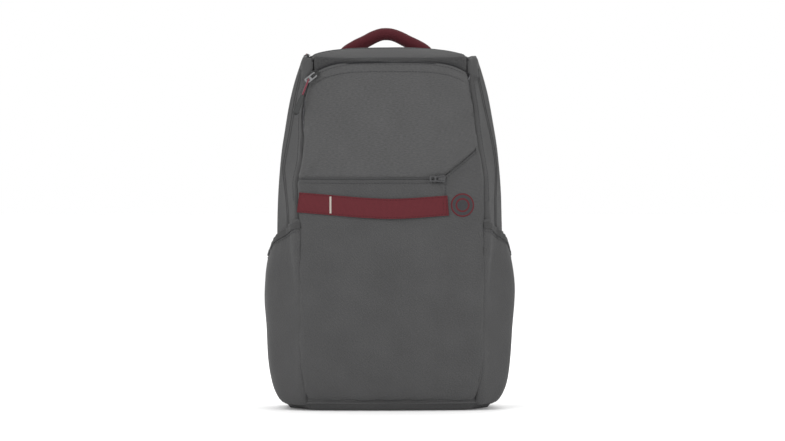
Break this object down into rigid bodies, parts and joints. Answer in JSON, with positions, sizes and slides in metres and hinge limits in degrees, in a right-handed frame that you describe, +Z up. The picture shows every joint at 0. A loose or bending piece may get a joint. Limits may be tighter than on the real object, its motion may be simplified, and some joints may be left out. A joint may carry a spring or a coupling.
{
  "type": "travel backpack",
  "caption": "Soft travel backpack with a zipped top lid, front pocket with webbing band, side pockets, padded harness and grab handle",
  "frame": {"origin": "centre of the base, on the surface that the pack stands on", "axes": "+Z up, -Y the front with the pocket, +Y the back with the shoulder straps, +X to the right seen from the front"},
  "size_m": [0.3144, 0.208, 0.479],
  "materials": {
    "slub_fabric": "woven polyester with horizontal slubs, matt",
    "shell_fabric": "woven polyester, matt",
    "twill_fabric": "fine diagonal twill polyester, matt",
    "base_fabric": "heavy coated polyester, matt",
    "lining_fabric": "plain nylon lining",
    "board": "stiff polyethylene sheet",
    "maroon_webbing": "woven webbing, maroon",
    "black_webbing": "woven webbing and tape, black",
    "mesh_foam": "spacer mesh over foam",
    "gunmetal": "polished gunmetal plating",
    "black_metal": "black lacquer",
    "black_plastic": "moulded acetal, satin",
    "grey_rubber": "soft moulded rubber, mid grey",
    "red_cord": "braided polyester cord, red"
  },
  "bodies": {
    "body": {"front_panel_upper": "slub_fabric", "front_panel_lower": "twill_fabric", "side_gusset_left": "shell_fabric", "side_gusset_right": "shell_fabric", "bottom_panel": "base_fabric", "back_panel": "shell_fabric", "yoke_panel": "shell_fabric", "main_zip": "black_webbing", "main_zip_teeth": "black_plastic", "bottom_board": "board", "back_frame_sheet": "board", "laptop_divider": "lining_fabric", "front_pocket_pouch": "lining_fabric", "side_pocket_left": "twill_fabric", "side_pocket_right": "twill_fabric", "pocket_binding_left": "black_webbing", "pocket_binding_right": "black_webbing", "front_strap": "maroon_webbing", "front_pocket_flap": "twill_fabric", "front_zip_tape": "black_webbing", "round_patch": "maroon_webbing", "handle_tab_left": "black_webbing", "handle_tab_right": "black_webbing", "back_pad_left": "mesh_foam", "back_pad_right": "mesh_foam", "lumbar_pad": "mesh_foam", "harness_yoke": "black_webbing", "foot_tab_left": "black_webbing", "foot_tab_right": "black_webbing"},
    "lid": {"lid_panel": "shell_fabric"},
    "main_front_slider": {"main_front_slider": "gunmetal"},
    "main_front_puller": {"main_front_puller": "gunmetal", "main_front_pull_cord": "red_cord", "main_front_pull_tab": "grey_rubber"},
    "main_side_slider": {"main_side_slider": "gunmetal"},
    "main_side_puller": {"main_side_puller": "gunmetal", "main_side_pull_cord": "red_cord", "main_side_pull_tab": "grey_rubber"},
    "pocket_slider": {"front_pocket_slider": "black_metal"},
    "pocket_puller": {"front_pocket_puller": "black_metal"},
    "handle": {"handle_grip": "maroon_webbing"},
    "strap_left": {"shoulder_pad_left": "mesh_foam", "ladder_lock_left": "black_plastic", "strap_webbing_left": "black_webbing", "strap_tail_left": "black_webbing", "sternum_rail_left": "black_webbing"},
    "sternum_slider_left": {"sternum_slider_left": "black_plastic"},
    "sternum_tail_left": {"sternum_webbing_left": "black_webbing", "sternum_buckle_plug": "black_plastic"},
    "strap_right": {"shoulder_pad_right": "mesh_foam", "ladder_lock_right": "black_plastic", "strap_webbing_right": "black_webbing", "strap_tail_right": "black_webbing", "sternum_rail_right": "black_webbing"},
    "sternum_slider_right": {"sternum_slider_right": "black_plastic"},
    "sternum_tail_right": {"sternum_webbing_right": "black_webbing", "sternum_buckle_socket": "black_plastic"}
  },
  "joints": [
    {"name": "lid_open", "type": "hinge", "parent": "body", "child": "lid", "pos_m": [0, 0.045, 0.4525], "axis": [-1, 0, 0], "range_deg": [0, 95]},
    {"name": "main_front_slider_run", "type": "hinge", "parent": "body", "child": "main_front_slider", "pos_m": [0, -0.0449, 0.14], "axis": [0, 1, 0], "range_deg": [0, 37]},
    {"name": "main_front_puller_flip", "type": "hinge", "parent": "main_front_slider", "child": "main_front_puller", "pos_m": [-0.09512, -0.0485, 0.42141], "axis": [-0.6222, 0, 0.7828], "range_deg": [0, 140]},
    {"name": "main_side_slider_run", "type": "slide", "parent": "body", "child": "main_side_slider", "axis": [0, 1, 0], "range_m": [0, 0.038]},
    {"name": "main_side_puller_flip", "type": "hinge", "parent": "main_side_slider", "child": "main_side_puller", "pos_m": [-0.10326, -0.009, 0.44389], "axis": [0.9135, 0, 0.4067], "range_deg": [0, 140]},
    {"name": "pocket_slider_run", "type": "hinge", "parent": "body", "child": "pocket_slider", "pos_m": [0, 0.59382, 0.291], "axis": [0, 0, -1], "range_deg": [0, 14.2]},
    {"name": "pocket_puller_flip", "type": "hinge", "parent": "pocket_slider", "child": "pocket_puller", "pos_m": [0.06151, -0.0847, 0.291], "axis": [0, 0, 1], "range_deg": [0, 140]},
    {"name": "handle_tilt", "type": "hinge", "parent": "body", "child": "handle", "pos_m": [0, 0.088, 0.44], "axis": [-1, 0, 0], "range_deg": [0, 80]},
    {"name": "strap_left_swing", "type": "hinge", "parent": "body", "child": "strap_left", "pos_m": [-0.092, 0.084, 0.426], "axis": [0.1272, -0.0052, 0.9919], "range_deg": [0, 45]},
    {"name": "sternum_left_slide", "type": "slide", "parent": "strap_left", "child": "sternum_slider_left", "axis": [0, 0, 1], "range_m": [-0.035, 0.035]},
    {"name": "sternum_left_swing", "type": "hinge", "parent": "sternum_slider_left", "child": "sternum_tail_left", "pos_m": [-0.066, 0.114, 0.3255], "axis": [1, 0, 0], "range_deg": [0, 90]},
    {"name": "strap_right_swing", "type": "hinge", "parent": "body", "child": "strap_right", "pos_m": [0.092, 0.084, 0.426], "axis": [0.1272, 0.0052, -0.9919], "range_deg": [0, 45]},
    {"name": "sternum_right_slide", "type": "slide", "parent": "strap_right", "child": "sternum_slider_right", "axis": [0, 0, 1], "range_m": [-0.035, 0.035]},
    {"name": "sternum_right_swing", "type": "hinge", "parent": "sternum_slider_right", "child": "sternum_tail_right", "pos_m": [0.066, 0.114, 0.3255], "axis": [1, 0, 0], "range_deg": [0, 90]}
  ]
}
